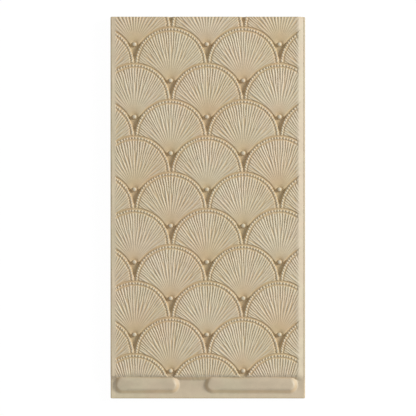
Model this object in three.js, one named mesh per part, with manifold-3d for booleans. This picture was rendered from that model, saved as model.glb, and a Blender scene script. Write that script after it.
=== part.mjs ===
// A flexible clay texture tile: a thin moulded rubber sheet. Its face carries a raised field of overlapping
// ribbed fans with beaded rims, laid like roof scales, and below the field two plain raised pads stand in a
// blank band. Clay is pressed on the face and takes the fans in reverse.
// Millimetres, +Z up. The tile lies on its back, with the origin in the middle of the underside and +Y
// towards the end away from the pads.

import * as THREE from "three";
import { mergeVertices } from "three/addons/utils/BufferGeometryUtils.js";
import Module from "manifold-3d";

// The sheet
const tileWidth = 51;
const tileLength = 100;
const sheetThickness = 2;
const sheetCornerRadius = 0.3;
const sheetEdgeEase = 0.12;

// The patterned field is a low raised web on the sheet with the fans standing on it. Narrow strips of sheet
// are left bare at the tile's edges, and the shoulders are the field's sloping sides.
const webHeight = 0.5;
const fanHeight = 0.7;
const leftStrip = 0.12;
const rightStrip = 0.25;
const topStrip = 0.15;
const leftShoulder = 0.43;
const rightShoulder = 1.5;
const topShoulder = 0.3;
const bottomShoulder = 0.5;

// The plain rail on the web, between the field's left side and the fans
const railWidth = 0.55;
const railDrop = 0.15;
const railClearance = 0.15;

// One fan. Its rim is a circle of the fan's radius, and its hub sits low on that circle's upright
// centreline. The pitch of the rows, and half the pitch of the columns, is the fan's radius.
const fanRadius = 9.5;
const hubHeight = 5;
const grooveWidth = 0.3;
const wallDraft = 0.22;
const flankDrop = 0.2;

// The fan's top, from its rim inwards: a row of beads, a moat, and ribs that run to the collar at the hub
const ribPitch = 0.93;
const ribDepth = 0.36;
const beadEdgeWidth = 0.2;
const beadGapDepth = 0.34;
const beadSlopeWidth = 0.5;
const moatDepth = 0.46;
const ribEndSlopeWidth = 0.25;
const shortestRib = 0.5;
const collarWidth = 0.4;

// The knob at a fan's hub
const knobRadius = 0.62;
const knobFootFlare = 0.08;
const knobDomeHeight = 0.25;
const knobDomeShoulder = 0.22;

// The pocket in the web below each knob
const pocketKnobClearance = 0.15;
const pocketRimClearance = 0.12;
const pocketDraft = 0.12;

// How far the centres of the lowest row of fans lie below the field's lower edge
const lowestRowDrop = 3.85;
// A scrap of a fan that the field's edge leaves smaller than this, in cubic millimetres, isn't moulded
const smallestFanVolume = 2;

// The two plain pads in the blank band below the field
const padDepth = 4;
const padRise = 1.05;
const padShoulder = 1.1;
const padFieldClearance = 0.1;
const padEdgeMargin = 1.55;
const leftPadMargin = 1.4;
const leftPadLength = 16.6;
const gapBetweenPads = 7.2;
const rightPadMargin = 2;

// Facets
const flankSteps = 5;
const collarSteps = 6;
const rimSteps = 16;
const knobSides = 8;
const pocketSideSteps = 3;
const padEndSteps = 6;
const padShoulderSteps = 3;

const rubberColour = 0xbfaf92;
const rubberRoughness = 0.6;

const webTop = sheetThickness + webHeight;
const crest = webTop + fanHeight;

const wasm = await Module();
wasm.setup();

// A three.js geometry as a solid that can be joined and cut
function solidFrom(geometry) {
  const bare = geometry.clone();
  bare.deleteAttribute("normal");
  bare.deleteAttribute("uv");
  const merged = mergeVertices(bare, 1e-4);
  return new wasm.Manifold(
    new wasm.Mesh({
      numProp: 3,
      vertProperties: merged.attributes.position.array,
      triVerts: new Uint32Array(merged.index.array),
    }),
  );
}

// A solid as a three.js geometry
function geometryFrom(solid) {
  const mesh = solid.getMesh();
  const geometry = new THREE.BufferGeometry();
  geometry.setAttribute("position", new THREE.BufferAttribute(mesh.vertProperties, 3));
  geometry.setIndex(new THREE.BufferAttribute(mesh.triVerts, 1));
  geometry.computeVertexNormals();
  return geometry;
}

// The largest single body of a solid
function largestBody(solid) {
  return solid.decompose().reduce((a, b) => (b.volume() > a.volume() ? b : a));
}

// A closed skin through rings of equally many points, from the lowest up, each anticlockwise from above
function loft(rings) {
  const points = [];
  rings.slice(1).forEach((upper, k) => {
    const lower = rings[k];
    lower.forEach((p, i) => {
      const n = (i + 1) % lower.length;
      points.push(p, lower[n], upper[n], p, upper[n], upper[i]);
    });
  });
  const cap = (ring, facesUp) => {
    const middle = ring.reduce((sum, p) => sum.add(p), new THREE.Vector3()).divideScalar(ring.length);
    ring.forEach((p, i) => {
      const next = ring[(i + 1) % ring.length];
      points.push(middle, facesUp ? p : next, facesUp ? next : p);
    });
  };
  cap(rings[0], false);
  cap(rings[rings.length - 1], true);
  return new THREE.BufferGeometry().setFromPoints(points);
}

// Sews a closed ring of lines into one skin. A line is a row of stations, each with the angle of its ray
// and its point, and two neighbouring lines are sewn in the order of their stations' angles.
function skinThrough(lines) {
  const points = [];
  const emit = (a, b, c) => {
    const nearest = Math.min(a.distanceTo(b), b.distanceTo(c), c.distanceTo(a));
    if (nearest > 1e-6) points.push(a, b, c);
  };
  lines.forEach((line, k) => {
    const next = lines[(k + 1) % lines.length];
    let i = 0;
    let j = 0;
    while (i < line.length - 1 || j < next.length - 1) {
      const nextDone = j === next.length - 1;
      if (nextDone || (i < line.length - 1 && line[i + 1].angle <= next[j + 1].angle)) {
        emit(line[i].point, next[j].point, line[i + 1].point);
        i += 1;
      } else {
        emit(line[i].point, next[j].point, next[j + 1].point);
        j += 1;
      }
    }
  });
  return new THREE.BufferGeometry().setFromPoints(points);
}

// The fan's outline is drawn by rays from its hub. A ray's angle is measured from straight up, and a level
// holds the height of an outline, its rim's radius and the radius kept clear round each fan in front.
const hubDrop = fanRadius - hubHeight;
const hubToFrontCentre = Math.hypot(fanRadius, hubHeight);

// How far along a ray the rim is
function rimDistance(angle, level) {
  const along = hubDrop * Math.cos(angle);
  return along + Math.sqrt(along ** 2 + level.rim ** 2 - hubDrop ** 2);
}

// The angle of the ray that just touches the disc kept clear for the fan in front
function grazingAngle(level) {
  const tangent = Math.sqrt(hubToFrontCentre ** 2 - level.front ** 2);
  return Math.atan2(hubHeight, fanRadius) + Math.asin(tangent / hubToFrontCentre);
}

// How far along a ray that disc is left behind
function frontDistance(angle, level) {
  const towards = fanRadius * Math.sin(angle) - hubHeight * Math.cos(angle);
  const inside = towards ** 2 - (hubToFrontCentre ** 2 - level.front ** 2);
  return towards + Math.sqrt(Math.max(0, inside));
}

// The angle of the ray to the corner where the fan's own rim meets that disc
function cornerAngle(level) {
  const apart = fanRadius * Math.SQRT2;
  const along = (level.rim ** 2 - level.front ** 2 + apart ** 2) / (2 * apart);
  const aside = Math.sqrt(level.rim ** 2 - along ** 2);
  const x = (along + aside) / Math.SQRT2;
  const y = (aside - along) / Math.SQRT2;
  return Math.atan2(x, y + hubDrop);
}

function station(angle, distance, z) {
  const point = new THREE.Vector3(distance * Math.sin(angle), distance * Math.cos(angle) - hubDrop, z);
  return { angle, point };
}

// The sides of the fan from its left corner to its right one, joined by an arc round the hub
function flankLine(level, hubDistance, arcSteps) {
  const grazing = grazingAngle(level);
  const corner = cornerAngle(level);
  const line = [];
  for (let i = 0; i <= flankSteps; i += 1) {
    const angle = corner + ((grazing - corner) * i) / flankSteps;
    const distance = i === 0 ? rimDistance(angle, level) : frontDistance(angle, level);
    line.push(station(-angle, distance, level.z));
  }
  for (let i = 0; i <= arcSteps; i += 1) {
    line.push(station(grazing * ((2 * i) / arcSteps - 1), hubDistance, level.z));
  }
  for (let i = flankSteps; i >= 0; i -= 1) {
    const { angle, point } = line[i];
    line.push({ angle: -angle, point: new THREE.Vector3(-point.x, point.y, point.z) });
  }
  return line;
}

// A line that follows the rim from corner to corner, with its height from a function of the step. Near the
// corners, where the fan gets narrow, the inset shrinks with it.
function rimLine(level, inset, steps, heightAt) {
  const corner = cornerAngle(level);
  const rimBand = beadEdgeWidth + beadSlopeWidth + ribEndSlopeWidth + shortestRib;
  const line = [];
  for (let i = 0; i <= steps; i += 1) {
    const angle = corner * ((2 * i) / steps - 1);
    const outer = rimDistance(angle, level);
    const behindFront = Math.abs(angle) > grazingAngle(level);
    const inner = behindFront ? frontDistance(Math.abs(angle), level) : 0;
    const atCorner = i === 0 || i === steps;
    const squeeze = atCorner ? 0 : Math.min(1, (outer - inner) / rimBand);
    line.push(station(angle, outer - inset * squeeze, atCorner ? level.z : heightAt(i)));
  }
  return line;
}

// One whole fan about its rim's centre: walls, a row of beads on the rim, a moat, and ribs that get
// shallower from the moat to the collar round the knob
function fanSolid() {
  const foot = {
    rim: fanRadius - grooveWidth / 2,
    front: fanRadius + grooveWidth / 2,
    z: webTop,
  };
  const top = {
    rim: foot.rim - wallDraft,
    front: foot.front + wallDraft,
    z: crest - flankDrop,
  };
  const ribCount = Math.round((Math.PI * fanRadius) / ribPitch);
  const moatInset = beadEdgeWidth + beadSlopeWidth;
  const ribEndInset = moatInset + ribEndSlopeWidth;
  const underKnob = knobRadius / 2;
  const crestsApart = (drop) => (i) => (i % 2 === 1 ? crest : crest - drop);
  const skin = skinThrough([
    flankLine(foot, underKnob, 1),
    rimLine(foot, 0, rimSteps, () => foot.z),
    rimLine(top, beadEdgeWidth, 2 * ribCount, crestsApart(beadGapDepth)),
    rimLine(top, moatInset, rimSteps, () => crest - moatDepth),
    rimLine(top, ribEndInset, 2 * ribCount, crestsApart(ribDepth)),
    flankLine(top, knobRadius + collarWidth, collarSteps),
    flankLine(top, underKnob, 1),
  ]);
  return solidFrom(skin).add(solidFrom(knobGeometry()));
}

// The knob at a fan's hub: a round stud with a flared foot and a domed top
function knobGeometry() {
  const profile = [
    new THREE.Vector2(0, webTop),
    new THREE.Vector2(knobRadius + knobFootFlare, webTop),
    new THREE.Vector2(knobRadius, crest - knobDomeHeight),
    new THREE.Vector2(knobRadius - knobDomeShoulder, crest - knobDomeHeight / 4),
    new THREE.Vector2(0, crest),
  ];
  const stud = new THREE.LatheGeometry(profile, knobSides);
  stud.rotateX(Math.PI / 2);
  stud.translate(0, -hubDrop, 0);
  return stud;
}

// A pocket's outline at one height, between the knob above it and the rims of the two fans in front. The
// sides follow those rims, and they meet in a point at the fan's tail.
function pocketRing(inset, z) {
  const sideRadius = fanRadius + grooveWidth / 2 + pocketRimClearance + inset;
  const topY = -hubDrop - knobRadius - knobFootFlare - pocketKnobClearance - inset;
  const tailY = Math.sqrt(sideRadius ** 2 - fanRadius ** 2) - fanRadius;
  const right = [];
  for (let i = 0; i < pocketSideSteps; i += 1) {
    const y = topY + ((tailY - topY) * i) / pocketSideSteps;
    const x = fanRadius - Math.sqrt(sideRadius ** 2 - (y + fanRadius) ** 2);
    right.push(new THREE.Vector3(x, y, z));
  }
  const left = right.map((p) => new THREE.Vector3(-p.x, p.y, z));
  return [...left, new THREE.Vector3(0, tailY, z), ...right.reverse()];
}

// The field's outline where the relief has risen by that much above the sheet
function fieldRing(rise, z) {
  const share = rise / (webHeight + fanHeight);
  const bottomStrip = padEdgeMargin + padDepth + padFieldClearance;
  const left = leftStrip + leftShoulder * share - tileWidth / 2;
  const right = tileWidth / 2 - rightStrip - rightShoulder * share;
  const top = tileLength / 2 - topStrip - topShoulder * share;
  const bottom = bottomStrip + bottomShoulder * share - tileLength / 2;
  return [
    new THREE.Vector3(left, bottom, z),
    new THREE.Vector3(right, bottom, z),
    new THREE.Vector3(right, top, z),
    new THREE.Vector3(left, top, z),
  ];
}

// The part of that outline left of the rail's inner side, and the part that is left for the fans
const railInnerX = leftStrip + leftShoulder + railWidth - tileWidth / 2;

function railRing(rise, z) {
  return fieldRing(rise, z).map((p) => p.setX(Math.min(p.x, railInnerX)));
}

function fanRing(rise, z) {
  return fieldRing(rise, z).map((p) => p.setX(Math.max(p.x, railInnerX + railClearance)));
}

const fieldTop = new THREE.Box3().setFromPoints(fanRing(webHeight + fanHeight, crest));

// The places of all fans that may reach the field, row by row from the lowest, each row half a column on
function fanPlaces() {
  const places = [];
  const middle = (fieldTop.min.x + fieldTop.max.x) / 2;
  const reach = Math.ceil((fieldTop.max.x - fieldTop.min.x) / (4 * fanRadius)) + 1;
  let row = 1;
  for (let y = fieldTop.min.y - lowestRowDrop; y - fanRadius < fieldTop.max.y; y += fanRadius) {
    const shift = row % 2 === 1 ? 0 : fanRadius;
    for (let column = -reach; column <= reach; column += 1) {
      places.push({ row, x: middle + 2 * fanRadius * column + shift, y });
    }
    row += 1;
  }
  return places;
}

// Every fan that the field shows, cut where the field ends
function fanSolids() {
  const fan = fanSolid();
  const block = solidFrom(loft([fanRing(webHeight, webTop), fanRing(webHeight + fanHeight, crest)]));
  const countInRow = {};
  const made = [];
  fanPlaces().forEach(({ row, x, y }) => {
    const cut = fan.translate([x, y, 0]).intersect(block);
    if (cut.isEmpty() || cut.volume() < smallestFanVolume) return;
    countInRow[row] = (countInRow[row] ?? 0) + 1;
    const name = `fan_row${String(row).padStart(2, "0")}_${countInRow[row]}`;
    made.push({ name, solid: largestBody(cut) });
  });
  return made;
}

// The bare sheet: a rectangle with slightly eased edges
function sheetGeometry() {
  const halfWidth = tileWidth / 2 - sheetEdgeEase;
  const halfLength = tileLength / 2 - sheetEdgeEase;
  const r = sheetCornerRadius;
  const outline = new THREE.Shape();
  outline.absarc(halfWidth - r, halfLength - r, r, 0, Math.PI / 2, false);
  outline.absarc(r - halfWidth, halfLength - r, r, Math.PI / 2, Math.PI, false);
  outline.absarc(r - halfWidth, r - halfLength, r, Math.PI, 1.5 * Math.PI, false);
  outline.absarc(halfWidth - r, r - halfLength, r, 1.5 * Math.PI, 2 * Math.PI, false);
  const sheet = new THREE.ExtrudeGeometry(outline, {
    depth: sheetThickness - 2 * sheetEdgeEase,
    bevelEnabled: true,
    bevelThickness: sheetEdgeEase,
    bevelSize: sheetEdgeEase,
    bevelSegments: 1,
    curveSegments: 3,
  });
  return sheet.translate(0, 0, sheetEdgeEase);
}

// The sheet with the field's web on it, the rail along the web, and a pocket in the web below each knob
function sheetSolid() {
  const web = loft([
    fieldRing(0, sheetThickness / 2),
    fieldRing(0, sheetThickness),
    fieldRing(webHeight, webTop),
  ]);
  const railTop = crest - railDrop;
  const rail = loft([
    railRing(0, sheetThickness),
    railRing(webHeight, webTop),
    railRing(railTop - sheetThickness, railTop),
  ]);
  const pocket = solidFrom(
    loft([pocketRing(pocketDraft, sheetThickness), pocketRing(0, webTop), pocketRing(0, crest)]),
  );
  let solid = solidFrom(sheetGeometry()).add(solidFrom(web)).add(solidFrom(rail));
  fanPlaces().forEach(({ x, y }) => {
    solid = solid.subtract(pocket.translate([x, y, 0]));
  });
  return solid;
}

// A plain pad with round ends, whose sides round over to a smaller flat top
function padGeometry(length) {
  const shoulder = Math.min(padShoulder, 0.45 * padDepth);
  const ring = (inset, z) => {
    const radius = padDepth / 2 - inset;
    const endCentre = length / 2 - padDepth / 2;
    const shape = new THREE.Shape();
    shape.absarc(endCentre, 0, radius, -Math.PI / 2, Math.PI / 2, false);
    shape.absarc(-endCentre, 0, radius, Math.PI / 2, 1.5 * Math.PI, false);
    return shape.getPoints(padEndSteps).slice(0, -1).map((p) => new THREE.Vector3(p.x, p.y, z));
  };
  const rings = [];
  for (let i = 0; i <= padShoulderSteps; i += 1) {
    const turn = ((i / padShoulderSteps) * Math.PI) / 2;
    rings.push(ring(shoulder * (1 - Math.cos(turn)), sheetThickness + padRise * Math.sin(turn)));
  }
  return loft(rings);
}

function namedMesh(name, geometry) {
  const rubber = new THREE.MeshStandardMaterial({
    color: rubberColour,
    roughness: rubberRoughness,
    metalness: 0,
  });
  const mesh = new THREE.Mesh(geometry, rubber);
  mesh.name = name;
  return mesh;
}

const tile = new THREE.Group();
tile.add(namedMesh("base_sheet", geometryFrom(sheetSolid())));

const fans = new THREE.Group();
fanSolids().forEach(({ name, solid }) => fans.add(namedMesh(name, geometryFrom(solid))));
tile.add(fans);

const pads = new THREE.Group();
pads.position.y = padEdgeMargin + padDepth / 2 - tileLength / 2;
const leftPad = namedMesh("label_pad_left", padGeometry(leftPadLength));
leftPad.position.x = leftPadMargin + leftPadLength / 2 - tileWidth / 2;
const rightPadLength = tileWidth - leftPadMargin - leftPadLength - gapBetweenPads - rightPadMargin;
const rightPad = namedMesh("label_pad_right", padGeometry(rightPadLength));
rightPad.position.x = tileWidth / 2 - rightPadMargin - rightPadLength / 2;
pads.add(leftPad, rightPad);
tile.add(pads);

export default tile;
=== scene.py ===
import math

import bmesh
import bpy
import numpy as np
from mathutils import Matrix, Vector


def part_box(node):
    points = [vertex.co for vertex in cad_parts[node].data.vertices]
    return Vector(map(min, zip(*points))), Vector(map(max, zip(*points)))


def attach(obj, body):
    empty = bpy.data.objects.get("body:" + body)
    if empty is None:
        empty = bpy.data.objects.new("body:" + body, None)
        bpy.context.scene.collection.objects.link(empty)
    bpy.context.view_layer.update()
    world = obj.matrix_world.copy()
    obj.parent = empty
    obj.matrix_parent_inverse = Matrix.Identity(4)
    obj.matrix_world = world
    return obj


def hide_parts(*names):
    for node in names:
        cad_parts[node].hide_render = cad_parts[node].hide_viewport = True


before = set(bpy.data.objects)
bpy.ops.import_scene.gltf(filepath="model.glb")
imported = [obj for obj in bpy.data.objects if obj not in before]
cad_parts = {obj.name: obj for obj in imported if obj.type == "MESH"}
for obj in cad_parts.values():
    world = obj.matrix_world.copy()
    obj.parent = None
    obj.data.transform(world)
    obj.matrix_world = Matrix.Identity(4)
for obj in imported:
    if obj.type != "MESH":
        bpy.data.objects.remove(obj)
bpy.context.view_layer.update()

bl_info = {
    "name": "Clay Texture Tile",
    "version": (1, 0, 0),
    "blender": (4, 5, 0),
    "location": "3D View > Sidebar > Texture Tile",
    "description": "Models a moulded rubber texture tile with beaded fans and two domed pads",
    "category": "Add Mesh",
}

MM = 0.001
RUBBER_NAME = "tan_rubber"
WHITE = (1.0, 1.0, 1.0, 1.0)

# The frame's own pieces and places
SHEET_NODE = "base_sheet"
PAD_NODES = ("label_pad_left", "label_pad_right")
WHOLE_FAN = "fan_row05_2"
WHOLE_FAN_ROW = 5
GROOVE_WIDTH = 0.3 * MM
HUB_HEIGHT = 5 * MM
SHEET_TOP = 2 * MM

# The relief's sides: how far each foot lies in from the tile's edge, how wide its slope is, how far
# it runs on under the sheet's top beyond its foot, and the rounding of the sheet's own edges
LEFT_STRIP = 0.004 * MM
RIGHT_STRIP = 0.45 * MM
TOP_STRIP = 0.004 * MM
BOTTOM_STRIP = 4.7 * MM
LEFT_SHOULDER = 0.7 * MM
RIGHT_SHOULDER = 1.42 * MM
TOP_SHOULDER = 0.24 * MM
BOTTOM_SHOULDER = 1.4 * MM
BEYOND_FOOT = 0.12 * MM
UPPER_EASE = 0.28 * MM
CORNER_RADIUS = 0.3 * MM

# The plain rail beside the fans at the left: where its top ends, how far it lies below the ribs, and
# how softly its top and the fans' run into the slopes
RAIL_INNER = 1.18 * MM
RAIL_DROP = 0.15 * MM
SIDE_BLEND = 0.1 * MM

fan_low, fan_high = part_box(WHOLE_FAN)
CREST = fan_high.z
FAN_RADIUS = (fan_high.x - fan_low.x + GROOVE_WIDTH) / 2
WHOLE_FAN_X = (fan_high.x + fan_low.x) / 2
WHOLE_FAN_Y = fan_high.y + GROOVE_WIDTH / 2 - FAN_RADIUS
HUB_DROP = FAN_RADIUS - HUB_HEIGHT
HUB_TO_FRONT = math.hypot(FAN_RADIUS, HUB_HEIGHT)
GRAZING_REACH = math.sqrt(HUB_TO_FRONT**2 - FAN_RADIUS**2)
GRAZING_ANGLE = math.atan2(HUB_HEIGHT, FAN_RADIUS) + math.asin(GRAZING_REACH / HUB_TO_FRONT)
CORNER_ANGLE = math.atan2(FAN_RADIUS, HUB_DROP)


def length(name, description, default):
    """A size in metres that a user may change."""
    return bpy.props.FloatProperty(
        name=name, description=description, default=default, unit="LENGTH", precision=5
    )


def share(name, description, default):
    """A share between nothing and all."""
    return bpy.props.FloatProperty(
        name=name, description=description, default=default, min=0.0, max=1.0, subtype="FACTOR"
    )


def colour(name, description, default):
    """A linear colour that a user may change."""
    return bpy.props.FloatVectorProperty(
        name=name, description=description, default=default, size=3, min=0.0, max=1.0, subtype="COLOR"
    )


class FanShape(bpy.types.PropertyGroup):
    """The shape of one ribbed fan."""

    rib_count: bpy.props.IntProperty(
        name="Ribs", description="Ribs in a whole fan, with a bead for each", default=38, min=8
    )
    rib_depth: length("Rib depth", "From a rib's ridge to the bottom between ribs", 0.225 * MM)
    rib_end: length("Rib ends", "From the rim to where the ribs begin", 1.12 * MM)
    rib_end_round: length("Rib end rounding", "How far a rib takes to rise at its end", 0.34 * MM)
    bead_row: length("Bead row", "From the rim to the middle of the row of beads", 0.56 * MM)
    bead_radius: length("Bead radius", "Half of a bead's width across the row", 0.33 * MM)
    bead_rise: length("Bead height", "How far a bead stands above the ledge under it", 0.28 * MM)
    ledge: length("Ledge", "How far the ledge under the beads lies below the ribs", 0.3 * MM)
    valley: length("Valley", "How far the line between two fans lies below the ribs", 0.42 * MM)
    pocket_floor: length("Pocket floor", "The height of the floor of a pocket", 2.22 * MM)
    knob_radius: length("Knob radius", "Half of the width of the knob at a hub", 0.6 * MM)
    unevenness: share("Unevenness", "How uneven the hand-cut ribs and beads are", 0.55)


class PadShape(bpy.types.PropertyGroup):
    """The shape of the two plain pads."""

    foot_reach: length("Foot reach", "How far the soft foot runs out beyond the pad", 0.35 * MM)
    crown: length("Crown", "How far the middle stands above the shoulders", 0.18 * MM)
    shoulder: length("Shoulder", "The width of the rounded shoulder", 1.25 * MM)
    lean: length("Lean", "How far the side towards the fans runs up on to their slope", 1.6 * MM)
    spread: length("Spread", "How far the side away from the fans runs out on the band", 0.12 * MM)
    left_run: length("Left run", "How far from its left end the pad begins to fall", 5 * MM)
    left_fall: share("Left fall", "How much lower the left end is than the rest", 0.2)
    left_reach: length("Left reach", "How far the left end runs out towards the edge", 0.45 * MM)
    left_shoulder: length("Left shoulder", "The width of the shoulder at the left end", 0.8 * MM)
    waves: length("Waves", "The height of the waves in the top", 0.07 * MM)


class SheetShape(bpy.types.PropertyGroup):
    """The shape of the sheet under the relief."""

    corner_radius: length("Corner radius", "The rounding of the four corners", CORNER_RADIUS)
    upper_ease: length("Upper ease", "The rounding of the upper edges", UPPER_EASE)
    lower_ease: length("Lower ease", "The rounding of the lower edges", 0.12 * MM)


class RubberLook(bpy.types.PropertyGroup):
    """The finish of the moulded rubber, with the colours of its painted light and shade."""

    face: colour("Face", "The colour of the face", (0.53, 0.449, 0.323))
    # Painted highlight: the ridges and beads are paler where light falls on them.
    ridge: colour("Ridge", "The colour of the ridges and beads, rubbed paler", (0.577, 0.502, 0.374))
    # Painted shade: the colour between the ribs is browner where shade falls.
    groove_shade: colour("Groove", "The colour between the ribs", (0.554, 0.417, 0.246))
    # Painted shade: the bottom of the pockets is browner where shade falls.
    recess_shade: colour("Recess", "The colour at the bottom of the pockets", (0.535, 0.408, 0.24))
    # Painted shade: the pads' sides and the slope by them are browner where shade falls.
    flank: colour("Flank", "The colour of the pads' sides and the slope by them", (0.53, 0.417, 0.268))
    pink: colour("Warm tint", "The warm tint of the mottling", (1.0, 0.975, 0.96))
    green: colour("Cool tint", "The cool tint of the mottling", (0.98, 1.0, 0.97))
    edge: colour("Edge", "What the cut edges are darkened by", (1.0, 0.96, 0.87))
    roughness: share("Roughness", "How matt the rubber is", 0.53)
    grain: length("Grain", "The depth of the fine grain", 0.012 * MM)


class StageSetup(bpy.types.PropertyGroup):
    """The floor, the lamps and the camera."""

    floor_size: length("Floor", "The width of the floor", 6.0)
    camera_height: length("Camera height", "How high the camera stands above the tile", 0.62)
    view_width: length("View width", "The width of what the camera sees at the tile", 109.04 * MM)
    camera_right: length("Camera right", "How far right of the middle the camera stands", 0.035 * MM)
    camera_up: length("Camera up", "How far above the middle of the tile the camera stands", -0.067 * MM)
    key_distance: length("Key distance", "How far away the key lamp is", 1.0)
    key_size: length("Key size", "The width of the key lamp", 0.34)
    key_share: share("Key share", "The part of the light that comes from the key lamp", 0.47)
    key_elevation: bpy.props.FloatProperty(
        name="Key elevation",
        description="The height of the key lamp above the horizon",
        default=math.radians(28),
        subtype="ANGLE",
    )
    key_azimuth: bpy.props.FloatProperty(
        name="Key azimuth",
        description="The direction of the key lamp, from the right towards the top",
        default=math.radians(16),
        subtype="ANGLE",
    )


# Shared shapes


def smooth_step(low, high, value):
    """Rises smoothly from 0 at low to 1 at high."""
    rise = np.clip((value - low) / (high - low), 0.0, 1.0)
    return rise * rise * (3.0 - 2.0 * rise)


def smooth_least(a, b, reach):
    """The lower of two heights, rounded over where they cross."""
    blend = np.clip(0.5 + 0.5 * (b - a) / reach, 0.0, 1.0)
    return b + (a - b) * blend - reach * blend * (1.0 - blend)


def warped_grid(across, along, shape):
    """An open bmesh: a grid of that many faces, with each vertex moved to shape(u, v)."""
    bm = bmesh.new()
    made = bmesh.ops.create_grid(bm, x_segments=across, y_segments=along, size=1.0)
    verts = made["verts"]
    flat = np.array([(vert.co.x, vert.co.y) for vert in verts])
    points = shape((flat[:, 0] + 1) / 2, (flat[:, 1] + 1) / 2)
    for vert, point in zip(verts, points):
        vert.co = point
    return bm


def cut_away(bm, point, outward):
    """Cuts off what lies beyond a plane."""
    bmesh.ops.bisect_plane(
        bm,
        geom=bm.verts[:] + bm.edges[:] + bm.faces[:],
        dist=1e-7,
        plane_co=point,
        plane_no=outward,
        clear_outer=True,
    )


def close_down(bm, floor):
    """Closes an open relief with walls down to a flat underside, and keeps the walls' upper edges crisp."""
    bmesh.ops.remove_doubles(bm, verts=bm.verts[:], dist=1e-7)
    for face in bm.faces:
        face.smooth = True
    rim = [edge for edge in bm.edges if edge.is_boundary]
    made = bmesh.ops.extrude_edge_only(bm, edges=rim)["geom"]
    for edge in rim:
        edge.smooth = False
    for part in made:
        if isinstance(part, bmesh.types.BMVert):
            part.co.z = floor
        elif isinstance(part, bmesh.types.BMFace):
            part.smooth = False
    low = [edge for edge in bm.edges if edge.is_boundary]
    bmesh.ops.edgeloop_fill(bm, edges=low)
    bmesh.ops.recalc_face_normals(bm, faces=bm.faces[:])


def joined(parts):
    """One mesh of several bmeshes, which are freed."""
    whole = bmesh.new()
    for bm in parts:
        copy = bpy.data.meshes.new("part")
        bm.to_mesh(copy)
        bm.free()
        whole.from_mesh(copy)
        bpy.data.meshes.remove(copy)
    return whole


def finish_piece(name, bm, *nodes):
    """Turns a bmesh into a piece of the tile that stands for CAD nodes."""
    mesh = bpy.data.meshes.new(name)
    bm.to_mesh(mesh)
    bm.free()
    piece = bpy.data.objects.new(name, mesh)
    bpy.context.scene.collection.objects.link(piece)
    piece.data.materials.append(rubber())
    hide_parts(*nodes)
    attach(piece, "root")


# The relief

tile_low, tile_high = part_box(SHEET_NODE)
FOOT_LEFT = tile_low.x + LEFT_STRIP
FOOT_RIGHT = tile_high.x - RIGHT_STRIP
FOOT_BOTTOM = tile_low.y + BOTTOM_STRIP
FOOT_TOP = tile_high.y - TOP_STRIP
RAIL_SIDE = tile_low.x + RAIL_INNER

# How far the whole field rises and falls, and the height at which the rail and the fans meet
SWAY = 0.03 * MM
RAIL_JOINT = CREST - RAIL_DROP - SWAY

# The slopes' shares of hollowness, how far they would rise past the ribs, and how softly they meet
RIGHT_HOLLOW = 0.5
BOTTOM_HOLLOW = 0.65
SLOPE_EXCESS = 0.1 * MM
SLOPES_BLEND = 0.18 * MM
TOP_BLEND = 0.05 * MM

# What a fan's hand-cut marks may differ by: shares of a rib's pitch, of a mark's own size, or lengths
VALLEY_SHIFT = 0.16
RIB_LIFT = 0.22
RIB_EARLY = 0.16 * MM
RIB_LATE = 0.2 * MM
NEAREST_JOIN = 6.2 * MM
FARTHEST_JOIN = 8.8 * MM
CUT_LESS = 0.4
CUT_MORE = 0.3
BEAD_SIZE = 0.16
BEAD_SHIFT = 0.1
BEAD_ROW_SHIFT = 0.6 * MM

# The ribs: how fast two joined ribs part, how wide apart they are at full depth, and where the depth
# and the body under them fall towards the hub
JOIN_RUN = 1.6 * MM
FULL_PITCH = 0.78 * MM
HUB_FADE = 2.4 * MM
INNER_DEPTH = 0.3
SHALLOW_REACH = 3.0 * MM
DEEP_REACH = 10.5 * MM
BODY_DROP = 0.05 * MM
HUB_DIP = 0.1 * MM
HUB_DIP_REACH = 3 * MM

# How far the ribs wander sideways, in ribs, in a long wave and a short one
LONG_WANDER = 0.2
SHORT_WANDER = 0.12

# A pocket from end to end, measured up from the cusp between the two fans in front
POCKET_FOOT = 0.8 * MM
POCKET_DEEP = 2.3 * MM
POCKET_RISES = 4.4 * MM
POCKET_TOP = 5.8 * MM

# Where a fan's marks fade out: towards the right foot, the lower foot and the rail, and how far the
# plain slope lies below the ribs there
RIGHT_FADE = (0.9 * MM, 2.3 * MM)
LOWER_FADE = (0.5 * MM, 1.7 * MM)
RAIL_FADE = (0.08 * MM, 0.48 * MM)
PLAIN_DROP = 0.08 * MM

# The collar round the knob, the angles between which the pocket opens, and how far the fan takes to
# rise from the fans in front of it and from its own rim
COLLAR_DROP = 0.45 * MM
COLLAR_RUN = 0.55 * MM
POCKET_BEGINS = math.radians(72)
POCKET_OPEN = math.radians(112)
FRONT_RUN = 0.34 * MM
RIM_RUN = 0.3 * MM
BELOW_CREST = 0.004 * MM


def slope(width, distance, hollow):
    """A hollow slope, from the sheet's top at its foot up to a little over the ribs' ridges."""
    share_up = np.clip(distance / width, -0.3, 1.2)
    rise = CREST + SLOPE_EXCESS - SHEET_TOP
    return SHEET_TOP + rise * share_up * (1 - hollow + hollow * np.abs(share_up))


def edge_drop(radius, distance):
    """How far a rounded cut edge lies below the face, at that distance in from the cut."""
    inward = 1 - np.clip(distance / radius, 0.0, 1.0)
    return radius * (1 - np.sqrt(np.clip(1 - inward**2, 0.0, 1.0)))


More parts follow.
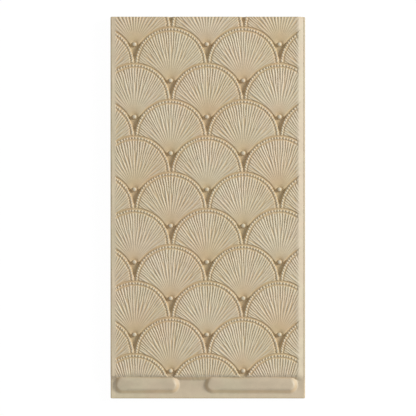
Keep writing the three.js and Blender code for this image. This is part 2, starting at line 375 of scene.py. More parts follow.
def side_height(x, y):
    """The highest that the relief may be near the field's edges."""
    low = slope(RIGHT_SHOULDER, FOOT_RIGHT - x, RIGHT_HOLLOW)
    low = smooth_least(low, slope(BOTTOM_SHOULDER, y - FOOT_BOTTOM, BOTTOM_HOLLOW), SLOPES_BLEND)
    low = smooth_least(low, CREST + SWAY, TOP_BLEND)
    risen = smooth_step(0.0, BOTTOM_SHOULDER, y - FOOT_BOTTOM)
    left_radius = UPPER_EASE + (LEFT_SHOULDER - UPPER_EASE) * risen
    return low - edge_drop(TOP_SHOULDER, FOOT_TOP - y) - edge_drop(left_radius, x - tile_low.x)


def rim_distance(angle):
    """How far the rim is from the hub, along a ray at that angle from straight up."""
    along = HUB_DROP * np.cos(angle)
    return along + np.sqrt(along**2 + FAN_RADIUS**2 - HUB_DROP**2)


def front_distance(angle):
    """Where such a ray leaves the disc of the fan in front."""
    towards = FAN_RADIUS * np.sin(np.abs(angle)) - HUB_HEIGHT * np.cos(angle)
    inside = towards**2 - GRAZING_REACH**2
    return towards + np.sqrt(np.maximum(0.0, inside))


class Fan:
    """One fan's own place and hand-cut marks, and the height of its relief."""

    def __init__(self, look, x, y, seed):
        self.look = look
        self.x = x
        self.hub_y = y - HUB_DROP
        draw = np.random.RandomState(seed)
        count = look.rib_count
        uneven = look.unevenness
        pitch = 2 * CORNER_ANGLE / count
        self.valleys = np.linspace(-CORNER_ANGLE, CORNER_ANGLE, count + 1)
        self.valleys[1:-1] += draw.uniform(-VALLEY_SHIFT, VALLEY_SHIFT, count - 1) * pitch * uneven
        self.rib_lift = 1 + draw.uniform(-RIB_LIFT, RIB_LIFT, count) * uneven
        self.rib_start = draw.uniform(-RIB_EARLY, RIB_LATE, count) * uneven
        self.rib_join = draw.uniform(NEAREST_JOIN, FARTHEST_JOIN, count)
        self.groove_cut = 1 + draw.uniform(-CUT_LESS, CUT_MORE, count + 1) * uneven
        self.bead_size = 1 + draw.uniform(-BEAD_SIZE, BEAD_SIZE, count) * uneven
        self.bead_shift = draw.uniform(-BEAD_SHIFT, BEAD_SHIFT, (2, count)) * uneven
        self.wander = draw.uniform(0.0, 2 * math.pi, 2)

    def valley_height(self, above_cusp):
        """The height of the line between two fans, which drops into the pocket above a cusp."""
        shallow = CREST - self.look.valley
        deep = smooth_step(POCKET_FOOT, POCKET_DEEP, above_cusp)
        deep *= 1 - smooth_step(POCKET_RISES, POCKET_TOP, above_cusp)
        return shallow + (self.look.pocket_floor - shallow) * deep

    def phase(self, angle, reach):
        """How many ribs lie between the fan's left corner and a point, counted with the ribs' wander."""
        steady = np.interp(angle, self.valleys, np.arange(len(self.valleys)))
        millimetres = reach / MM
        sway = LONG_WANDER * np.sin(0.9 * millimetres + 9 * angle + self.wander[0])
        sway += SHORT_WANDER * np.sin(2.1 * millimetres - 17 * angle + self.wander[1])
        inside = smooth_step(0.0, 1.5, steady) * smooth_step(0.0, 1.5, len(self.valleys) - 1 - steady)
        return steady + sway * inside * self.look.unevenness

    def height(self, x, y):
        """The height of the relief at points measured from the hub."""
        look = self.look
        reach = np.hypot(x, y)
        angle = np.arctan2(x, y)
        from_rim = FAN_RADIUS - np.hypot(x, y - HUB_DROP)
        from_front = np.hypot(np.abs(x) - FAN_RADIUS, y + HUB_HEIGHT) - FAN_RADIUS
        count = look.rib_count

        phase = self.phase(angle, reach)
        rib = np.clip(np.floor(phase).astype(int), 0, count - 1)
        across = phase - rib
        ridges = np.arange(count) + 0.5
        lift = np.interp(phase, ridges, self.rib_lift)
        apart = smooth_step(0.0, JOIN_RUN, reach - np.interp(phase, ridges, self.rib_join))
        own_ridge = 0.5 - 0.5 * np.cos(2 * math.pi * phase)
        joined_ridge = 0.5 + 0.5 * np.cos(math.pi * (phase - 0.5))
        ridge = joined_ridge + (np.power(own_ridge, 0.8) - joined_ridge) * apart
        cut = np.interp(phase, np.arange(count + 1), self.groove_cut)
        cut += 0.3 * look.unevenness * np.sin(reach / (0.8 * MM) + 2.6 * phase + self.wander[0])
        ridge = 1 - (1 - ridge) * cut
        local_pitch = reach * 2 * CORNER_ANGLE / count * (2 - apart)
        depth = look.rib_depth * np.clip(local_pitch / FULL_PITCH, 0.0, 1.0) ** 1.4
        depth *= smooth_step(look.knob_radius, look.knob_radius + HUB_FADE, reach)
        depth *= INNER_DEPTH + (1 - INNER_DEPTH) * smooth_step(SHALLOW_REACH, DEEP_REACH, reach)
        body = CREST - BODY_DROP - HUB_DIP * np.exp(-((reach / HUB_DIP_REACH) ** 2))
        ribs = body - 0.5 * (look.rib_depth - depth) + depth * (ridge * lift - 1.0)

        start = look.rib_end + self.rib_start[rib]
        t = np.clip((from_rim - start) / look.rib_end_round, 0.0, 1.0)
        risen = np.sqrt(np.clip(1 - (1 - t) ** 2, 0.0, 1.0))
        ledge = CREST - look.ledge
        top = ledge + (ribs - ledge) * risen

        middle = np.clip(across - 0.5 - self.bead_shift[0][rib], -0.5, 0.5)
        rim_pitch = rim_distance(angle) * 2 * CORNER_ANGLE / count
        size = look.bead_radius * self.bead_size[rib]
        row = look.bead_row + self.bead_shift[1][rib] * BEAD_ROW_SHIFT
        away = ((from_rim - row) / size) ** 2 + (middle * rim_pitch / (size * 1.02)) ** 2
        bead = look.bead_rise * self.bead_size[rib] * np.clip(1 - away, 0.0, 1.0) ** 0.7
        top = np.maximum(top, ledge + bead)

        collar = np.minimum(CREST - COLLAR_DROP, top)
        past_knob = smooth_step(look.knob_radius, look.knob_radius + COLLAR_RUN, reach)
        top = collar + (top - collar) * past_knob

        in_pocket = smooth_step(POCKET_BEGINS, POCKET_OPEN, np.abs(angle))
        flank = self.valley_height(y + HUB_HEIGHT)
        top = top + (np.minimum(flank, top) - top) * in_pocket

        near_front = smooth_step(0.0, FRONT_RUN, from_front)
        top = flank + (top - flank) * near_front
        outer = self.valley_height(y - HUB_DROP)
        near_rim = smooth_step(0.0, RIM_RUN, from_rim)
        top = outer + (top - outer) * near_rim
        return np.minimum(top, CREST - BELOW_CREST)

    def placed(self, x, y):
        """Points of the relief in the tile's frame, kept under the field's shoulders."""
        tile_x = x + self.x
        tile_y = y + self.hub_y
        sway = SWAY * np.sin(tile_x / (5.3 * MM) + 1.3) * np.sin(tile_y / (6.1 * MM) + 0.4)
        height = self.height(x, y) + sway - SWAY
        on_top = smooth_step(*RIGHT_FADE, FOOT_RIGHT - tile_x)
        on_top *= smooth_step(*LOWER_FADE, tile_y - FOOT_BOTTOM)
        plain = CREST - PLAIN_DROP
        height = plain + (height - plain) * on_top
        beside_rail = smooth_step(*RAIL_FADE, tile_x - RAIL_SIDE)
        height = RAIL_JOINT + (height - RAIL_JOINT) * beside_rail
        height = smooth_least(height, side_height(tile_x, tile_y), SIDE_BLEND)
        return np.stack([tile_x, tile_y, height], axis=1)


# The knob: its dome's height, steps and sides, and how much field it needs round its middle
KNOB_DOME = 0.36 * MM
KNOB_STEPS = 6
KNOB_SIDES = 28
KNOB_MARGIN = 0.9 * MM

# The relief's grid: columns to a rib, steps in each zone from the rim to the hub, and in the tail
HUB_HOLE = 0.42 * MM
RIB_COLUMNS = 8
RIM_STEPS = 21
RIM_ZONE = 1.6 * MM
HUB_STEPS = 5
HUB_ZONE = 0.55 * MM
MIDDLE_STEPS = 15
TAIL_COLUMNS = 84
TAIL_STEPS = 18
TAIL_CROWDING = 1.35
RELIEF_SINK = 0.45 * MM


def rayed_shape(fan, first, last, inner_distance):
    """A part of the fan along rays between two angles, from the rim in to a distance from the hub."""
    columns = round(fan.look.rib_count * RIB_COLUMNS * abs(last - first) / (2 * CORNER_ANGLE))
    rows = RIM_STEPS + MIDDLE_STEPS + HUB_STEPS

    def shape(u, v):
        angle = first + (last - first) * u
        step = np.round(v * rows)
        outer = rim_distance(angle)
        inner = np.minimum(inner_distance(angle), outer)
        span = outer - inner
        squeeze = np.minimum(1.0, span / (1.5 * (RIM_ZONE + HUB_ZONE)))
        rim_zone = RIM_ZONE * squeeze
        hub_zone = HUB_ZONE * squeeze
        middle = span - rim_zone - hub_zone
        depth = (
            rim_zone * np.clip(step / RIM_STEPS, 0.0, 1.0)
            + middle * np.clip((step - RIM_STEPS) / MIDDLE_STEPS, 0.0, 1.0)
            + hub_zone * np.clip((step - RIM_STEPS - MIDDLE_STEPS) / HUB_STEPS, 0.0, 1.0)
        )
        reach = outer - depth
        return fan.placed(reach * np.sin(angle), reach * np.cos(angle))

    return warped_grid(columns, rows, shape)


def blade_shape(fan):
    """The fan's middle, from rim to hub."""
    return rayed_shape(fan, -GRAZING_ANGLE, GRAZING_ANGLE, lambda angle: np.full_like(angle, HUB_HOLE))


def wing_shape(fan, side):
    """One of the fan's two wings, from the rim to the fan in front."""
    return rayed_shape(fan, side * GRAZING_ANGLE, side * CORNER_ANGLE, front_distance)


def tail_shape(fan):
    """The fan's tail: from the ring under the knob out to the two fans in front, with the pocket."""
    first = math.atan2(
        GRAZING_REACH * math.cos(GRAZING_ANGLE) + HUB_HEIGHT,
        GRAZING_REACH * math.sin(GRAZING_ANGLE) - FAN_RADIUS,
    )

    def shape(u, v):
        turn = np.abs(2 * u - 1)
        side = np.where(u < 0.5, 1.0, -1.0)
        around = math.pi + (first - math.pi) * turn
        edge_x = side * (FAN_RADIUS + FAN_RADIUS * np.cos(around))
        edge_y = FAN_RADIUS * np.sin(around) - HUB_HEIGHT
        far = np.hypot(edge_x, edge_y)
        inner_x = edge_x / far * HUB_HOLE
        inner_y = edge_y / far * HUB_HOLE
        gone = 1 - (1 - v) ** TAIL_CROWDING
        return fan.placed(inner_x + (edge_x - inner_x) * gone, inner_y + (edge_y - inner_y) * gone)

    return warped_grid(TAIL_COLUMNS, TAIL_STEPS, shape)


def knob_shape(fan):
    """The round-topped knob at the hub, turned from a profile with a flared foot."""
    radius = fan.look.knob_radius
    top = CREST - 0.005 * MM
    floor = SHEET_TOP - RELIEF_SINK
    profile = [Vector((0.0, 0.0, top))]
    for step in range(1, KNOB_STEPS + 1):
        turn = step / KNOB_STEPS * math.pi / 2
        out = 0.94 * radius * math.sin(turn)
        profile.append(Vector((out, 0.0, top - KNOB_DOME * (1 - math.cos(turn)))))
    profile.append(Vector((radius, 0.0, CREST - 0.62 * MM)))
    profile.append(Vector((1.12 * radius, 0.0, SHEET_TOP + 0.25 * MM)))
    profile.append(Vector((1.3 * radius, 0.0, floor)))
    profile.append(Vector((0.0, 0.0, floor)))
    bm = bmesh.new()
    verts = [bm.verts.new(point) for point in profile]
    edges = [bm.edges.new(pair) for pair in zip(verts, verts[1:])]
    bmesh.ops.spin(
        bm,
        geom=verts + edges,
        cent=(0.0, 0.0, 0.0),
        axis=(0.0, 0.0, 1.0),
        angle=2 * math.pi,
        steps=KNOB_SIDES,
        use_merge=True,
    )
    bmesh.ops.remove_doubles(bm, verts=bm.verts[:], dist=1e-7)
    bmesh.ops.translate(bm, verts=bm.verts[:], vec=(fan.x, fan.hub_y, 0.0))
    return bm


def fan_place(node):
    """The centre of a fan's rim, from its row and the side of its box that the field leaves whole."""
    low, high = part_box(node)
    row = int(node.split("_")[1].removeprefix("row"))
    y = WHOLE_FAN_Y + FAN_RADIUS * (row - WHOLE_FAN_ROW)
    shift = FAN_RADIUS * ((row - WHOLE_FAN_ROW) % 2)
    reach = FAN_RADIUS - GROOVE_WIDTH / 2
    places = [WHOLE_FAN_X + shift + 2 * FAN_RADIUS * column for column in range(-3, 4)]
    x = min(places, key=lambda place: min(abs(place + reach - high.x), abs(place - reach - low.x)))
    return x, y


def field_cuts():
    """The four planes that bound the relief on the sheet, each with its outward direction."""
    return (
        (Vector((RAIL_SIDE, 0, 0)), Vector((-1, 0, 0))),
        (Vector((FOOT_RIGHT + BEYOND_FOOT, 0, 0)), Vector((1, 0, 0))),
        (Vector((0, FOOT_BOTTOM - BEYOND_FOOT, 0)), Vector((0, -1, 0))),
        (Vector((0, FOOT_TOP, 0)), Vector((0, 1, 0))),
    )


def in_field(x, y, margin):
    """Whether a round thing of that radius lies within the field."""
    return RAIL_SIDE + margin < x < FOOT_RIGHT - margin and FOOT_BOTTOM + margin < y < FOOT_TOP - margin


def relief_parts(fan):
    """The fan's ribbed part, its tail and its knob, each closed and cut to the field."""
    parts = []
    for open_relief in (blade_shape(fan), wing_shape(fan, -1), wing_shape(fan, 1), tail_shape(fan)):
        for point, outward in field_cuts():
            cut_away(open_relief, point, outward)
        if open_relief.faces:
            close_down(open_relief, SHEET_TOP - RELIEF_SINK)
            parts.append(open_relief)
        else:
            open_relief.free()
    if in_field(fan.x, fan.hub_y, KNOB_MARGIN):
        knob = knob_shape(fan)
        for face in knob.faces:
            face.smooth = True
        bmesh.ops.recalc_face_normals(knob, faces=knob.faces[:])
        parts.append(knob)
    return parts


# The fans of the frame, the rows whose fans may reach the field, and where the corner fans' seeds begin
FAN_NODES = sorted(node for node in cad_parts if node.startswith("fan_"))
FIRST_ROW = 0
LAST_ROW = 12
CORNER_SEED = 300


def corner_places():
    """The centres of the fans that reach the field only with a corner, which have no node of their own."""
    taken = [fan_place(node) for node in FAN_NODES]
    for row in range(FIRST_ROW, LAST_ROW + 1):
        y = WHOLE_FAN_Y + FAN_RADIUS * (row - WHOLE_FAN_ROW)
        shift = FAN_RADIUS * ((row - WHOLE_FAN_ROW) % 2)
        for column in range(-2, 3):
            x = WHOLE_FAN_X + shift + 2 * FAN_RADIUS * column
            near = in_field(x, y, -FAN_RADIUS)
            if near and all(math.hypot(x - other[0], y - other[1]) > FAN_RADIUS / 2 for other in taken):
                yield x, y


# The sheet and the pads

# The rail's grid, and the heights of the long waves and the ripples along it
RAIL_COLUMNS = 14
RAIL_ROWS = 240
RAIL_WAVE = 0.03 * MM
RAIL_RIPPLE = 0.02 * MM


def model_rail():
    """The plain rail: a flat band beside the fans that rounds over to the tile's cut edge."""

    def shape(u, v):
        x = FOOT_LEFT + (RAIL_SIDE - FOOT_LEFT) * u**1.4
        first = FOOT_BOTTOM - BEYOND_FOOT
        y = first + (FOOT_TOP - first) * (0.5 - 0.35 * np.cos(math.pi * v) + 0.3 * (v - 0.5))
        sway = RAIL_WAVE * np.sin(y / (4.1 * MM))
        sway += RAIL_RIPPLE * np.sin(y / (1.7 * MM) + x / (0.4 * MM))
        level = CREST - RAIL_DROP + sway
        level += (RAIL_JOINT - level) * smooth_step(0.5, 1.0, u)
        height = smooth_least(level, side_height(x, y), SIDE_BLEND)
        return np.stack([x, y, height], axis=1)

    bm = warped_grid(RAIL_COLUMNS, RAIL_ROWS, shape)
    corner = Vector((tile_low.x + CORNER_RADIUS, tile_high.y - CORNER_RADIUS, 0))
    for turn in (15, 30, 45, 60, 75):
        outward = Vector((-math.cos(math.radians(turn)), math.sin(math.radians(turn)), 0))
        cut_away(bm, corner + outward * (CORNER_RADIUS - LEFT_STRIP), outward)
    close_down(bm, SHEET_TOP - RELIEF_SINK)
    return bm


def model_slab(look):
    """The slab, with rounded corners and eased edges."""
    bm = bmesh.new()
    size = tile_high - tile_low
    centre = Vector((tile_low.x + size.x / 2, tile_low.y + size.y / 2, SHEET_TOP / 2))
    bmesh.ops.create_cube(
        bm, size=1.0, matrix=Matrix.Translation(centre) @ Matrix.Diagonal((size.x, size.y, SHEET_TOP, 1.0))
    )
    upright = [e for e in bm.edges if abs(e.verts[0].co.z - e.verts[1].co.z) > SHEET_TOP / 2]
    bmesh.ops.bevel(
        bm,
        geom=upright,
        offset=look.corner_radius,
        offset_type="OFFSET",
        affect="EDGES",
        segments=5,
        profile=0.5,
        material=-1,
    )
    for height, ease, steps in ((SHEET_TOP, look.upper_ease, 5), (0.0, look.lower_ease, 3)):
        ring = [e for e in bm.edges if all(abs(v.co.z - height) < 1e-6 for v in e.verts)]
        bmesh.ops.bevel(
            bm,
            geom=ring,
            offset=ease,
            offset_type="OFFSET",
            affect="EDGES",
            segments=steps,
            profile=0.5,
            material=-1,
        )
    for face in bm.faces:
        face.smooth = face.calc_area() < MM**2
    bmesh.ops.recalc_face_normals(bm, faces=bm.faces[:])
    return bm


# The pads' grid, how deep their walls stand in the sheet, how far their tops keep below the frame's
# pads, the share of their depth that keeps its place, the lengths of the waves in their tops, and
# where their seeds begin
PAD_COLUMNS = 150
PAD_ROWS = 30
PAD_SINK = 0.1 * MM
PAD_DROP = 0.08 * MM
PAD_LEAST_DROP = 0.002 * MM
PAD_MIDDLE = 0.2
WAVE_ALONG = 1.9 * MM
WAVE_ACROSS = 1.3 * MM
LONG_WAVE = 3.7 * MM
LONG_WAVE_SHARE = 0.6
PAD_SEED = 100


def model_pad(look, node, seed):
    """One plain pad: a low pillow with round ends and a soft foot that runs out on the sheet."""
    low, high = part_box(node)
    middle = (low + high) / 2
    radius = (high.y - low.y) / 2
    straight = (high.x - low.x) / 2 - radius
    reach = radius + look.foot_reach
    rise = high.z - SHEET_TOP
    draw = np.random.RandomState(seed)
    turns = draw.uniform(0.0, 2 * math.pi, 4)

    def shape(u, v):
        half = straight + reach
        bend = np.sin((u - 0.5) * math.pi)
        even = 2 * u - 1
        x = half * (0.35 * bend + 0.65 * even)
        beyond = np.maximum(0.0, np.abs(x) - straight)
        half_width = np.sqrt(np.maximum(0.0, reach**2 - beyond**2))
        y = half_width * (0.5 * np.sin((v - 0.5) * math.pi) + 0.5 * (2 * v - 1))
        inward = reach - np.hypot(beyond, y)
        at_left = smooth_step(half - look.left_run, half, -x)
        shoulder = look.shoulder + (look.left_shoulder - look.shoulder) * at_left
        foot = smooth_step(0.0, look.foot_reach + shoulder, inward)
        domed = 1 - look.crown / rise * (1 - np.clip(inward / reach, 0.0, 1.0)) ** 2
        waves = look.waves * (
            np.sin(x / WAVE_ALONG + turns[0]) * np.sin(y / WAVE_ACROSS + turns[1])
            + LONG_WAVE_SHARE * np.sin(x / LONG_WAVE + turns[2])
        )
        domed = domed * (1 - look.left_fall * at_left)
        height = SHEET_TOP + (rise * domed - PAD_DROP + waves) * foot
        height = np.minimum(height, high.z - PAD_LEAST_DROP)
        lean = look.lean * smooth_step(PAD_MIDDLE * reach, reach, y)
        lean -= look.spread * smooth_step(PAD_MIDDLE * reach, reach, -y)
        reached = look.left_reach * at_left
        return np.stack([x + middle.x - reached, y + middle.y + lean, height], axis=1)

    bm = warped_grid(PAD_COLUMNS, PAD_ROWS, shape)
    close_down(bm, SHEET_TOP - PAD_SINK)
    return bm


# The rubber


class Wire:
    """A shader socket that works in sums and products, which add their Math nodes."""

    def __init__(self, tree, socket):
        self.tree = tree
        self.socket = socket

    def _maths(self, operation, first, second):
        made = build_node(self.tree, "ShaderNodeMath", {"operation": operation}, {0: first, 1: second})
        return Wire(self.tree, made.outputs[0])

    def __add__(self, other):
        return self._maths("ADD", self, other)

    def __radd__(self, other):
        return self._maths("ADD", other, self)

    def __sub__(self, other):
        return self._maths("SUBTRACT", self, other)

    def __rsub__(self, other):
        return self._maths("SUBTRACT", other, self)

    def __mul__(self, other):
        return self._maths("MULTIPLY", self, other)

    def __rmul__(self, other):
        return self._maths("MULTIPLY", other, self)

    def least(self, other):
        return self._maths("MINIMUM", self, other)


def build_node(tree, kind, settings=None, inputs=None):
    """A node of a kind, with its settings made first, then the values or links of its sockets."""
    made = tree.nodes.new(kind)
    for key, value in (settings or {}).items():
        setattr(made, key, value)
    for key, value in (inputs or {}).items():
        if isinstance(value, Wire):
            tree.links.new(value.socket, made.inputs[key])
        else:
            made.inputs[key].default_value = value
    return made


class Shader:
    """A material's node tree, with short ways to add to it."""

    def __init__(self, name):
        self.material = bpy.data.materials.new(name)
        self.material.use_nodes = True
        self.tree = self.material.node_tree
        self.tree.nodes.clear()

    def node(self, kind, settings=None, inputs=None):
        return build_node(self.tree, kind, settings, inputs)

    def wire(self, node, output=0):
        return Wire(self.tree, node.outputs[output])

    def noise(self, place, scale, detail=2.0, roughness=0.5):
        """Noise from 0 to 1 at that many cycles to the millimetre."""
        made = self.node(
            "ShaderNodeTexNoise",
            inputs={"Vector": place, "Scale": scale, "Detail": detail, "Roughness": roughness},
        )
        return self.wire(made, "Fac")

    def ramp(self, value, low, high, start=0.0, end=1.0):
        """A smooth rise from start to end as the value goes from low to high."""
        made = self.node(
            "ShaderNodeMapRange",
            {"interpolation_type": "SMOOTHSTEP"},
            {"Value": value, "From Min": low, "From Max": high, "To Min": start, "To Max": end},
        )
        return self.wire(made)

    def mix(self, amount, first, second, blend="MIX"):
        """One colour mixed with another."""
        made = self.node("ShaderNodeMix", {"data_type": "RGBA", "blend_type": blend})
        for index, value in ((0, amount), (6, first), (7, second)):
            if isinstance(value, Wire):
                self.tree.links.new(value.socket, made.inputs[index])
            else:
                made.inputs[index].default_value = value
        return Wire(self.tree, made.outputs[2])

    def grey(self, value):
        """A number as a grey colour."""
        made = self.node("ShaderNodeCombineColor", inputs={0: value, 1: value, 2: value})
        return self.wire(made)


# Heights, in millimetres, between which the rubber's colour goes from the painted shade of the pockets to
# the painted shade between the ribs to the painted highlight on the ridges
POCKET_LEVEL = 2.2
GROOVE_LEVEL = 2.88
GROOVE_REACHED = 2.9
RIDGE_LEVEL = 3.1

# How many millimetres the field's colours take to begin at its sides
FIELD_SOFTNESS = 0.4

# The noises in the rubber, in cycles to the millimetre
BLOTCH_SCALE = 0.16
CLOUD_SCALE = 0.55
FINE_SCALE = 5.5
SPECK_SCALE = 11.0

# What the rubber's brightness is multiplied by: at the tile's lower end and past it, on the rail, and, as
# painted shade, what it loses on the lit slope at the right
LOWER_END = 1.085
PAST_LOWER_END = 0.99
ON_RAIL = 1.09
RIGHT_SLOPE_PAINTED_SHADE = 0.1


def rgba(values):
    return (*values, 1.0)


def rubber():
    """The moulded tan rubber, made once: mottled and grained, browner at its cut edges, with painted shade
    in its pockets, between its ribs, on the pads' sides and on the slopes, and a painted highlight on its
    ridges and beads.
    """
    if RUBBER_NAME in bpy.data.materials:
        return bpy.data.materials[RUBBER_NAME]
    look = bpy.context.scene.tile_rubber
    shader = Shader(RUBBER_NAME)
    place = shader.wire(shader.node("ShaderNodeTexCoord"), "Object")
    scaled = shader.node("ShaderNodeVectorMath", {"operation": "SCALE"}, {0: place, "Scale": 1 / MM})
    in_mm = shader.wire(scaled)
    split = shader.node("ShaderNodeSeparateXYZ", inputs={0: in_mm})
    height = shader.wire(split, "Z")

    side = shader.wire(split, "X")
    along = shader.wire(split, "Y")
    between_sides = (side - RAIL_SIDE / MM).least((FOOT_RIGHT - RIGHT_SHOULDER) / MM - side)
    past_slope = (FOOT_BOTTOM + BOTTOM_SHOULDER) / MM
    in_fans = between_sides.least(along - past_slope).least(FOOT_TOP / MM - along)
    on_sheet = shader.ramp(height, SHEET_TOP / MM - 0.1, SHEET_TOP / MM + 0.1)
    in_fans = shader.ramp(in_fans, 0.0, FIELD_SOFTNESS) * on_sheet
    # Painted light by height: browner painted shade between the ribs and in the pockets, and a paler
    # painted highlight on the ridges and beads.
    risen = shader.ramp(height, GROOVE_LEVEL, RIDGE_LEVEL)
    carved_painted_light = shader.mix(risen, rgba(look.groove_shade), rgba(look.ridge))
    out_of_pocket = shader.ramp(height, POCKET_LEVEL, GROOVE_REACHED)
    carved_painted_light = shader.mix(out_of_pocket, rgba(look.recess_shade), carved_painted_light)
    # Painted shade on the pads' sides and on the lower part of the slope below the fans.
    flank_painted_shade = shader.ramp(height, SHEET_TOP / MM + 0.03, SHEET_TOP / MM + 0.2)
    flank_painted_shade = flank_painted_shade * shader.ramp(height, CREST / MM - 0.6, CREST / MM - 0.4, 1.0, 0.0)
    flank_painted_shade = flank_painted_shade * shader.ramp(between_sides, 0.0, FIELD_SOFTNESS)
    flank_painted_shade = flank_painted_shade * shader.ramp(along, past_slope, past_slope + FIELD_SOFTNESS, 1.0, 0.0)
    plain = shader.mix(flank_painted_shade, rgba(look.face), rgba(look.flank))
    tone = shader.mix(in_fans, plain, carved_painted_light)

    blotch = shader.noise(in_mm, BLOTCH_SCALE, 3.0, 0.55)
    tint = shader.mix(shader.ramp(blotch, 0.36, 0.64), rgba(look.pink), rgba(look.green))
    tone = shader.mix(1.0, tone, tint, "MULTIPLY")

    cloud = shader.noise(in_mm, CLOUD_SCALE, 3.0)
    fine = shader.noise(in_mm, FINE_SCALE, 3.0, 0.6)
    speck = shader.noise(in_mm, SPECK_SCALE, 1.0)
    mottle_and_painted_shade = shader.ramp(cloud, 0.3, 0.7, 0.965, 1.03) * shader.ramp(fine, 0.25, 0.75, 0.94, 1.05)
    end = tile_low.y / MM
    mottle_and_painted_shade = mottle_and_painted_shade * shader.ramp(along, end + 0.8, end + 4.2, LOWER_END, PAST_LOWER_END)
    mottle_and_painted_shade = mottle_and_painted_shade * shader.ramp(side, RAIL_SIDE / MM - 0.1, RAIL_SIDE / MM + 0.4, ON_RAIL, 1.0)
    # Painted shade: the slope at the right, which faces the key lamp, is darkened to tone down its light.
    slope_top = (FOOT_RIGHT - RIGHT_SHOULDER) / MM
    right_slope_painted_shade = shader.ramp(side, slope_top - 0.4, slope_top + 0.2)
    right_slope_painted_shade = right_slope_painted_shade * shader.ramp(along, FOOT_BOTTOM / MM - 0.2, FOOT_BOTTOM / MM + 0.6)
    mottle_and_painted_shade = mottle_and_painted_shade * (1 - RIGHT_SLOPE_PAINTED_SHADE * right_slope_painted_shade)
    tone = shader.mix(1.0, tone, shader.grey(mottle_and_painted_shade), "MULTIPLY")

    half_width = (tile_high.x - tile_low.x) / 2 / MM
    half_length = (tile_high.y - tile_low.y) / 2 / MM
    across = shader.wire(shader.node("ShaderNodeMath", {"operation": "ABSOLUTE"}, {0: side}))
    lengthways = shader.wire(shader.node("ShaderNodeMath", {"operation": "ABSOLUTE"}, {0: along}))
    from_edge = (half_width - across).least(half_length - lengthways)
    at_edge = shader.ramp(from_edge, 0.2, 0.5, 1.0, 0.0)
    edged = shader.mix(1.0, tone, rgba(look.edge), "MULTIPLY")
    tone = shader.mix(at_edge, tone, edged)

    roughness = shader.ramp(fine, 0.3, 0.7, look.roughness - 0.06, look.roughness + 0.07)
    bump = shader.node(
        "ShaderNodeBump",
        inputs={"Strength": 0.8, "Distance": look.grain, "Height": fine + speck * 0.5 + cloud},
    )
    surface = shader.node(
        "ShaderNodeBsdfPrincipled",
        inputs={
            "Base Color": tone,
            "Roughness": roughness,
            "Specular IOR Level": 0.5,
            "Normal": shader.wire(bump),
        },
    )
    shader.node("ShaderNodeOutputMaterial", inputs={"Surface": shader.wire(surface)})
    return shader.material


# The stage


# The floor: how far it lies below the tile, its colour, its own light, and how much of that shows
FLOOR_GAP = 0.02 * MM
FLOOR_GREY = 0.86
FLOOR_LIGHT = 1.02
FLOOR_SHOWN = 0.95


def floor_material():
    """A plain white floor that keeps the tile's soft shadow."""
    shader = Shader("white_floor")
    path = shader.node("ShaderNodeLightPath")
    seen = shader.wire(path, "Is Camera Ray") + shader.wire(path, "Is Glossy Ray")
    seen = (seen + shader.wire(path, "Is Transmission Ray")).least(1.0)
    plain = shader.node("ShaderNodeBsdfDiffuse", inputs={"Color": rgba([FLOOR_GREY] * 3)})
    lit = shader.node("ShaderNodeEmission", inputs={"Color": WHITE, "Strength": FLOOR_LIGHT})
    mixed = shader.node(
        "ShaderNodeMixShader",
        inputs={0: seen * FLOOR_SHOWN, 1: shader.wire(plain), 2: shader.wire(lit)},
    )
    shader.node("ShaderNodeOutputMaterial", inputs={"Surface": shader.wire(mixed)})
    return shader.material


def build_floor(stage):
    bm = bmesh.new()
    bmesh.ops.create_grid(bm, x_segments=1, y_segments=1, size=stage.floor_size / 2)
    mesh = bpy.data.meshes.new("floor")
    bm.to_mesh(mesh)
    bm.free()
    mesh.transform(Matrix.Translation((0.0, 0.0, -FLOOR_GAP)))
    floor = bpy.data.objects.new("floor", mesh)
    bpy.context.scene.collection.objects.link(floor)
    mesh.materials.append(floor_material())


def build_world(fill):
    """An even white sky: the fill light, and pure white where the camera sees it."""
    world = bpy.data.worlds.new("studio_sky")
    bpy.context.scene.world = world
    world.use_nodes = True
    tree = world.node_tree
    tree.nodes.clear()
    path = build_node(tree, "ShaderNodeLightPath")
    seen = Wire(tree, path.outputs["Is Camera Ray"]) + Wire(tree, path.outputs["Is Transmission Ray"])
    strength = seen.least(1.0) * (1 - fill) + fill
    sky = build_node(tree, "ShaderNodeBackground", None, {"Color": WHITE, "Strength": strength})
    build_node(tree, "ShaderNodeOutputWorld", None, {"Surface": Wire(tree, sky.outputs[0])})


def build_key(stage, target):
    """One soft key lamp, as strong as gives its share of a plain level on the face."""
    lamp = bpy.data.lights.new("key", "AREA")
    lamp.shape = "SQUARE"
    lamp.size = stage.key_size
    irradiance = math.pi * stage.key_share / math.sin(stage.key_elevation)
    lamp.energy = irradiance * math.pi * stage.key_distance**2
    key = bpy.data.objects.new("key", lamp)
    bpy.context.scene.collection.objects.link(key)
    level = math.cos(stage.key_elevation)
    right = level * math.cos(stage.key_azimuth)
    up = level * math.sin(stage.key_azimuth)
    towards = Vector((right, up, math.sin(stage.key_elevation)))
    key.location = target + towards * stage.key_distance
    key.rotation_mode = "QUATERNION"
    key.rotation_quaternion = towards.to_track_quat("Z", "Y")


def build_camera(stage):
    """A long lens straight above the tile."""
    data = bpy.data.cameras.new("camera")
    data.sensor_width = 36.0
    data.lens = data.sensor_width * stage.camera_height / stage.view_width
    data.clip_start = 0.01
    data.clip_end = 20.0
    camera = bpy.data.objects.new("camera", data)
    bpy.context.scene.collection.objects.link(camera)
    camera.location = (stage.camera_right, stage.camera_up, SHEET_TOP + stage.camera_height)
    bpy.context.scene.camera = camera


# The add-on


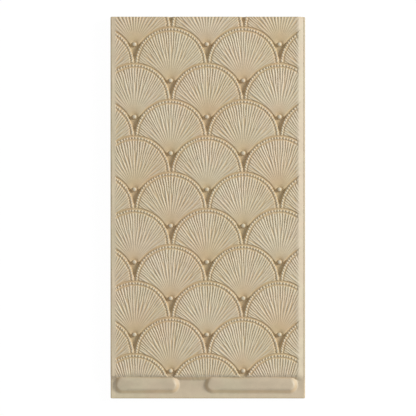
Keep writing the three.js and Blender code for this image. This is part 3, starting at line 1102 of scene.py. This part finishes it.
class TILE_OT_sheet(bpy.types.Operator):
    """Models the sheet under the relief"""

    bl_idname = "tile.model_sheet"
    bl_label = "Model the sheet"

    def execute(self, context):
        parts = [model_slab(context.scene.tile_sheet), model_rail()]
        for seed, (x, y) in enumerate(corner_places(), CORNER_SEED):
            parts += relief_parts(Fan(context.scene.tile_fan, x, y, seed))
        finish_piece("moulded_sheet", joined(parts), SHEET_NODE)
        return {"FINISHED"}


class TILE_OT_fans(bpy.types.Operator):
    """Models every ribbed fan with its beads, knob and pocket"""

    bl_idname = "tile.model_fans"
    bl_label = "Model the fans"

    def execute(self, context):
        if not FAN_NODES:
            raise RuntimeError("the frame has no fans")
        for seed, node in enumerate(FAN_NODES):
            parts = relief_parts(Fan(context.scene.tile_fan, *fan_place(node), seed))
            finish_piece(f"ribbed_{node}", joined(parts), node)
        return {"FINISHED"}


class TILE_OT_pads(bpy.types.Operator):
    """Models the two plain domed pads"""

    bl_idname = "tile.model_pads"
    bl_label = "Model the pads"

    def execute(self, context):
        for seed, node in enumerate(PAD_NODES):
            side = node.rsplit("_", 1)[1]
            pad = model_pad(context.scene.tile_pad, node, PAD_SEED + seed)
            finish_piece(f"domed_pad_{side}", pad, node)
        return {"FINISHED"}


class TILE_OT_stage(bpy.types.Operator):
    """Sets the floor, the lamps and the camera"""

    bl_idname = "tile.set_stage"
    bl_label = "Set the stage"

    def execute(self, context):
        stage = context.scene.tile_stage
        context.scene.view_settings.view_transform = "Standard"
        build_floor(stage)
        build_world(1 - stage.key_share)
        build_key(stage, Vector((0.0, 0.0, SHEET_TOP)))
        build_camera(stage)
        return {"FINISHED"}


class TILE_PT_panel(bpy.types.Panel):
    """Lists the tile's operators"""

    bl_idname = "TILE_PT_panel"
    bl_label = "Texture Tile"
    bl_space_type = "VIEW_3D"
    bl_region_type = "UI"
    bl_category = "Texture Tile"

    def draw(self, context):
        for operator in OPERATORS:
            self.layout.operator(operator.bl_idname)


GROUPS = {
    "tile_fan": FanShape,
    "tile_pad": PadShape,
    "tile_sheet": SheetShape,
    "tile_rubber": RubberLook,
    "tile_stage": StageSetup,
}
OPERATORS = (TILE_OT_stage, TILE_OT_sheet, TILE_OT_fans, TILE_OT_pads)


def register():
    for made in (*GROUPS.values(), *OPERATORS, TILE_PT_panel):
        bpy.utils.register_class(made)
    for name, group in GROUPS.items():
        setattr(bpy.types.Scene, name, bpy.props.PointerProperty(type=group))


def unregister():
    for name in GROUPS:
        delattr(bpy.types.Scene, name)
    for made in reversed((*GROUPS.values(), *OPERATORS, TILE_PT_panel)):
        bpy.utils.unregister_class(made)


def main():
    register()
    bpy.ops.tile.set_stage()
    bpy.ops.tile.model_sheet()
    bpy.ops.tile.model_fans()
    bpy.ops.tile.model_pads()


if __name__ == "__main__":
    main()
